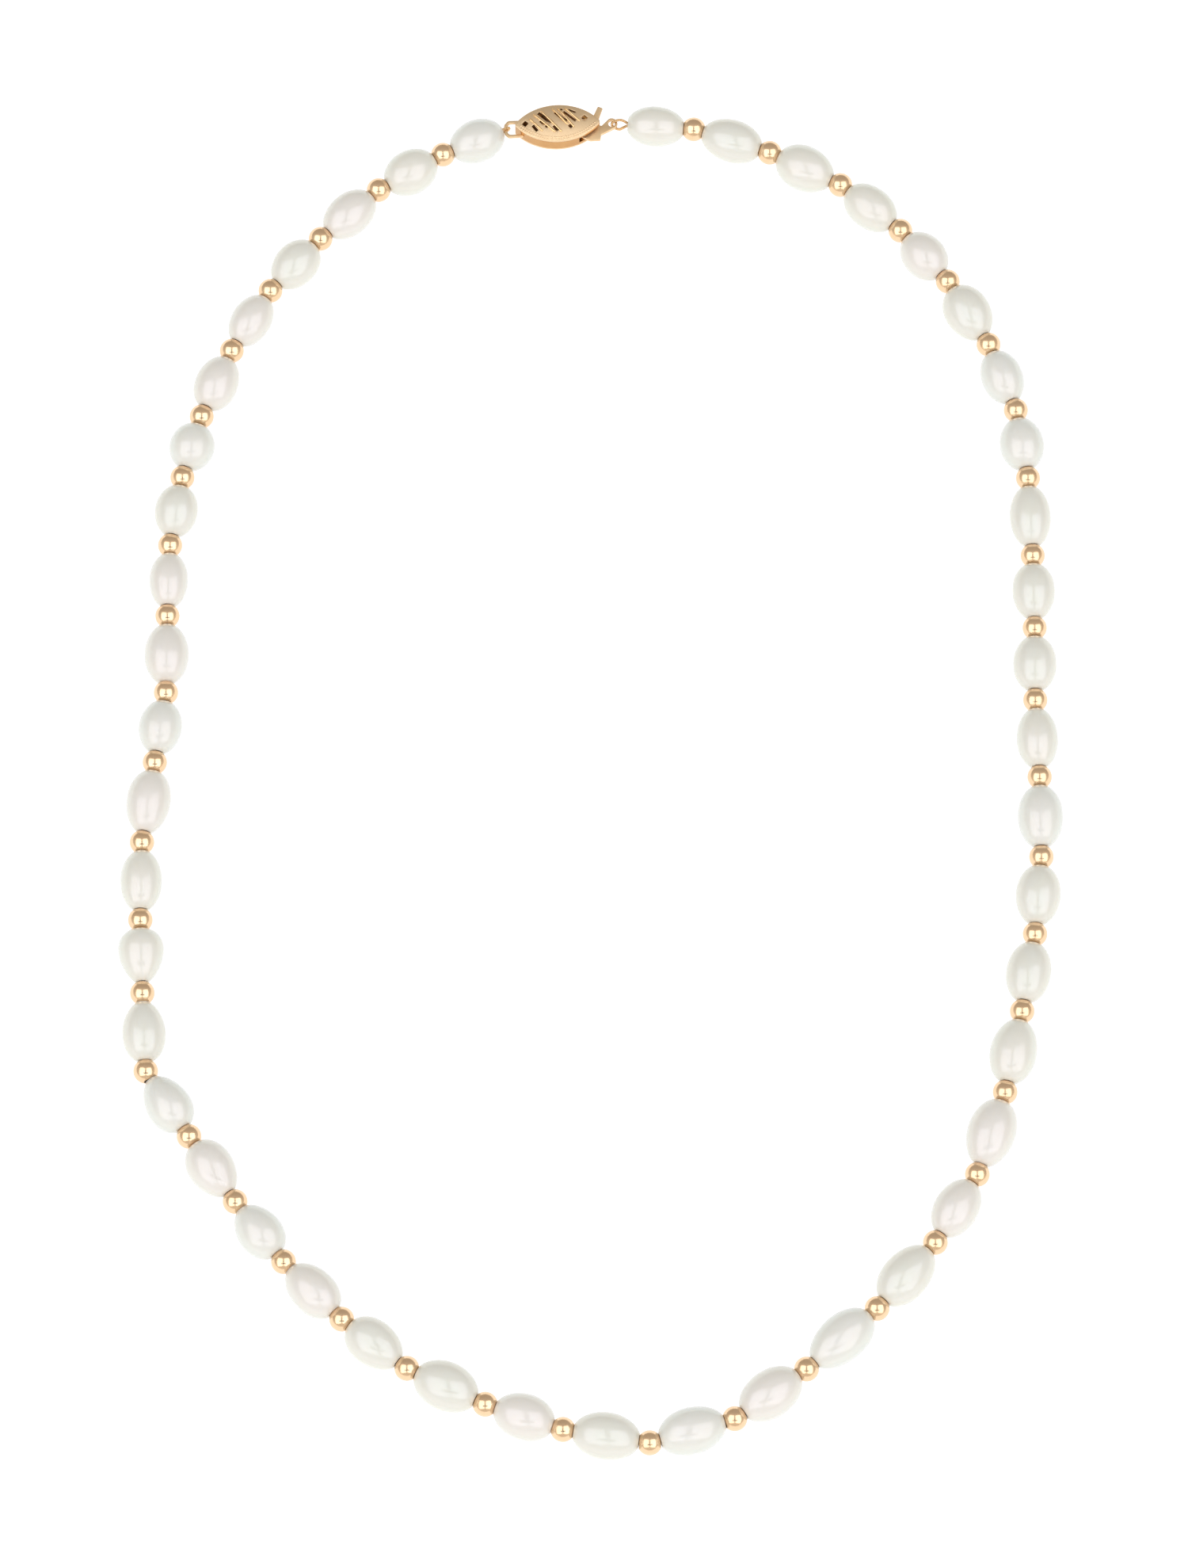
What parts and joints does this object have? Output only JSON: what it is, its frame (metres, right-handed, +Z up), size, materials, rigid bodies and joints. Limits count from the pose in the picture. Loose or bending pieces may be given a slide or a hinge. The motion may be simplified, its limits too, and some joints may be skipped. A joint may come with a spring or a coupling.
{
  "type": "pearl necklace",
  "caption": "Single-strand oval pearl necklace with a small round gold bead between the pearls and a marquise filigree clasp with a sprung tongue.",
  "frame": {"origin": "on the surface the strand lies on, under the middle of the box that holds the closed loop", "axes": "+Z up from that surface, +Y from the lowest pearl towards the clasp, +X towards the side of the strand that carries the hook"},
  "size_m": [0.115, 0.1758, 0.0059],
  "materials": {
    "nacre": "off-white cultured pearl nacre, lustrous",
    "gold_beads": "polished 14 karat yellow gold",
    "clasp_gold": "satin and milgrained 14 karat yellow gold",
    "silk": "twisted silk thread"
  },
  "bodies": {
    "centre": {"pearl_centre": "nacre", "beads_centre": "gold_beads", "stringing_thread": "silk"},
    "right_01": {"pearls_right_01": "nacre", "beads_right_01": "gold_beads"},
    "right_02": {"pearls_right_02": "nacre", "beads_right_02": "gold_beads"},
    "right_03": {"pearls_right_03": "nacre", "beads_right_03": "gold_beads"},
    "right_04": {"pearls_right_04": "nacre", "beads_right_04": "gold_beads"},
    "right_05": {"pearls_right_05": "nacre", "beads_right_05": "gold_beads"},
    "right_06": {"pearls_right_06": "nacre", "beads_right_06": "gold_beads"},
    "right_07": {"pearls_right_07": "nacre", "beads_right_07": "gold_beads"},
    "right_08": {"pearls_right_08": "nacre", "beads_right_08": "gold_beads"},
    "right_09": {"pearls_right_09": "nacre", "beads_right_09": "gold_beads"},
    "right_10": {"pearls_right_10": "nacre", "beads_right_10": "gold_beads"},
    "right_11": {"pearls_right_11": "nacre", "beads_right_11": "gold_beads", "guard_hook": "clasp_gold"},
    "left_01": {"pearls_left_01": "nacre", "beads_left_01": "gold_beads"},
    "left_02": {"pearls_left_02": "nacre", "beads_left_02": "gold_beads"},
    "left_03": {"pearls_left_03": "nacre", "beads_left_03": "gold_beads"},
    "left_04": {"pearls_left_04": "nacre", "beads_left_04": "gold_beads"},
    "left_05": {"pearls_left_05": "nacre", "beads_left_05": "gold_beads"},
    "left_06": {"pearls_left_06": "nacre", "beads_left_06": "gold_beads"},
    "left_07": {"pearls_left_07": "nacre", "beads_left_07": "gold_beads"},
    "left_08": {"pearls_left_08": "nacre", "beads_left_08": "gold_beads"},
    "left_09": {"pearls_left_09": "nacre", "beads_left_09": "gold_beads"},
    "left_10": {"pearls_left_10": "nacre", "beads_left_10": "gold_beads"},
    "left_11": {"pearls_left_11": "nacre", "beads_left_11": "gold_beads", "guard_loop": "clasp_gold"},
    "hook": {"hook_plate": "clasp_gold"},
    "leaf": {"spring_leaf": "clasp_gold"},
    "clasp": {"clasp_cover": "clasp_gold", "clasp_wall": "clasp_gold", "clasp_back": "clasp_gold", "clasp_post": "clasp_gold", "end_loop": "clasp_gold"}
  },
  "joints": [
    {"name": "strand_open", "type": "hinge", "parent": "centre", "child": "right_01", "pos_m": [0.00685, -0.08607, 0.00285], "axis": [0, 0, -1], "range_deg": [0, 3.11], "deforming": ["stringing_thread", "spring_leaf"]},
    {"name": "right_turn_02", "type": "hinge", "parent": "right_01", "child": "right_02", "pos_m": [0.02559, -0.07696, 0.0029], "axis": [0, 0, -1], "range_deg": [0, 2.9]},
    {"name": "right_turn_03", "type": "hinge", "parent": "right_02", "child": "right_03", "pos_m": [0.04118, -0.06117, 0.00285], "axis": [0, 0, -1], "range_deg": [0, 2.49]},
    {"name": "right_turn_04", "type": "hinge", "parent": "right_03", "child": "right_04", "pos_m": [0.04984, -0.04224, 0.00295], "axis": [0, 0, -1], "range_deg": [0, 1.91]},
    {"name": "right_turn_05", "type": "hinge", "parent": "right_04", "child": "right_05", "pos_m": [0.0538, -0.02199, 0.00275], "axis": [0, 0, -1], "range_deg": [0, 1.2]},
    {"name": "right_turn_06", "type": "hinge", "parent": "right_05", "child": "right_06", "pos_m": [0.05469, -0.0017, 0.0028], "axis": [0, 0, -1], "range_deg": [0, 0.41]},
    {"name": "right_turn_07", "type": "hinge", "parent": "right_06", "child": "right_07", "pos_m": [0.05442, 0.01783, 0.0027], "axis": [0, 0, -1], "range_deg": [-0.41, 0]},
    {"name": "right_turn_08", "type": "hinge", "parent": "right_07", "child": "right_08", "pos_m": [0.05392, 0.03765, 0.00275], "axis": [0, 0, -1], "range_deg": [-1.2, 0]},
    {"name": "right_turn_09", "type": "hinge", "parent": "right_08", "child": "right_09", "pos_m": [0.04931, 0.05551, 0.00285], "axis": [0, 0, -1], "range_deg": [-1.91, 0]},
    {"name": "right_turn_10", "type": "hinge", "parent": "right_09", "child": "right_10", "pos_m": [0.03853, 0.07099, 0.0027], "axis": [0, 0, -1], "range_deg": [-2.49, 0]},
    {"name": "right_turn_11", "type": "hinge", "parent": "right_10", "child": "right_11", "pos_m": [0.02225, 0.08156, 0.00285], "axis": [0, 0, -1], "range_deg": [-2.9, 0]},
    {"name": "hook_turn", "type": "hinge", "parent": "right_11", "child": "hook", "pos_m": [0.00242, 0.08563, 0.00275], "axis": [0, 0, -1], "range_deg": [-3.11, 0]},
    {"name": "left_turn_01", "type": "hinge", "parent": "centre", "child": "left_01", "pos_m": [-0.00349, -0.08442, 0.00285], "axis": [0, 0, 1], "range_deg": [0, 3.69]},
    {"name": "left_turn_02", "type": "hinge", "parent": "left_01", "child": "left_02", "pos_m": [-0.02212, -0.07688, 0.00295], "axis": [0, 0, 1], "range_deg": [0, 3.33]},
    {"name": "left_turn_03", "type": "hinge", "parent": "left_02", "child": "left_03", "pos_m": [-0.03701, -0.06353, 0.00275], "axis": [0, 0, 1], "range_deg": [0, 2.67]},
    {"name": "left_turn_04", "type": "hinge", "parent": "left_03", "child": "left_04", "pos_m": [-0.04857, -0.0478, 0.0028], "axis": [0, 0, 1], "range_deg": [0, 1.79]},
    {"name": "left_turn_05", "type": "hinge", "parent": "left_04", "child": "left_05", "pos_m": [-0.05451, -0.02957, 0.0028], "axis": [0, 0, 1], "range_deg": [0, 0.821]},
    {"name": "left_turn_06", "type": "hinge", "parent": "left_05", "child": "left_06", "pos_m": [-0.05489, -0.01014, 0.0027], "axis": [0, 0, 1], "range_deg": [-0.126, 0]},
    {"name": "left_turn_07", "type": "hinge", "parent": "left_06", "child": "left_07", "pos_m": [-0.05228, 0.00932, 0.00275], "axis": [0, 0, 1], "range_deg": [-0.955, 0]},
    {"name": "left_turn_08", "type": "hinge", "parent": "left_07", "child": "left_08", "pos_m": [-0.05209, 0.02876, 0.00265], "axis": [0, 0, 1], "range_deg": [-1.61, 0]},
    {"name": "left_turn_09", "type": "hinge", "parent": "left_08", "child": "left_09", "pos_m": [-0.04844, 0.04588, 0.0028], "axis": [0, 0, 1], "range_deg": [-2.08, 0]},
    {"name": "left_turn_10", "type": "hinge", "parent": "left_09", "child": "left_10", "pos_m": [-0.04012, 0.06284, 0.0027], "axis": [0, 0, 1], "range_deg": [-2.38, 0]},
    {"name": "left_turn_11", "type": "hinge", "parent": "left_10", "child": "left_11", "pos_m": [-0.02675, 0.07648, 0.0028], "axis": [0, 0, 1], "range_deg": [-2.54, 0]},
    {"name": "clasp_turn", "type": "hinge", "parent": "left_11", "child": "clasp", "pos_m": [-0.01085, 0.08474, 0.00275], "axis": [0, 0, 1], "range_deg": [-2.61, 0]},
    {"name": "trigger_press", "type": "hinge", "parent": "hook", "child": "leaf", "pos_m": [-0.00746, 0.08499, 0.0029], "axis": [-0.0467, 0.9989, 0], "range_deg": [0, 2.5], "stiffness_Nm_per_rad": 0.004}
  ],
  "couplings": [
    {"joint": "right_turn_02", "follows": "strand_open", "ratio": 0.93185},
    {"joint": "right_turn_03", "follows": "strand_open", "ratio": 0.8002},
    {"joint": "right_turn_04", "follows": "strand_open", "ratio": 0.61401},
    {"joint": "right_turn_05", "follows": "strand_open", "ratio": 0.38599},
    {"joint": "right_turn_06", "follows": "strand_open", "ratio": 0.13165},
    {"joint": "right_turn_07", "follows": "strand_open", "ratio": -0.13165},
    {"joint": "right_turn_08", "follows": "strand_open", "ratio": -0.38599},
    {"joint": "right_turn_09", "follows": "strand_open", "ratio": -0.61401},
    {"joint": "right_turn_10", "follows": "strand_open", "ratio": -0.8002},
    {"joint": "right_turn_11", "follows": "strand_open", "ratio": -0.93185},
    {"joint": "hook_turn", "follows": "strand_open", "ratio": -1},
    {"joint": "left_turn_01", "follows": "strand_open", "ratio": 1.1866},
    {"joint": "left_turn_02", "follows": "strand_open", "ratio": 1.0711},
    {"joint": "left_turn_03", "follows": "strand_open", "ratio": 0.85713},
    {"joint": "left_turn_04", "follows": "strand_open", "ratio": 0.57549},
    {"joint": "left_turn_05", "follows": "strand_open", "ratio": 0.26393},
    {"joint": "left_turn_06", "follows": "strand_open", "ratio": -0.04022},
    {"joint": "left_turn_07", "follows": "strand_open", "ratio": -0.30695},
    {"joint": "left_turn_08", "follows": "strand_open", "ratio": -0.51808},
    {"joint": "left_turn_09", "follows": "strand_open", "ratio": -0.66852},
    {"joint": "left_turn_10", "follows": "strand_open", "ratio": -0.7641},
    {"joint": "left_turn_11", "follows": "strand_open", "ratio": -0.81691},
    {"joint": "clasp_turn", "follows": "strand_open", "ratio": -0.83943}
  ]
}
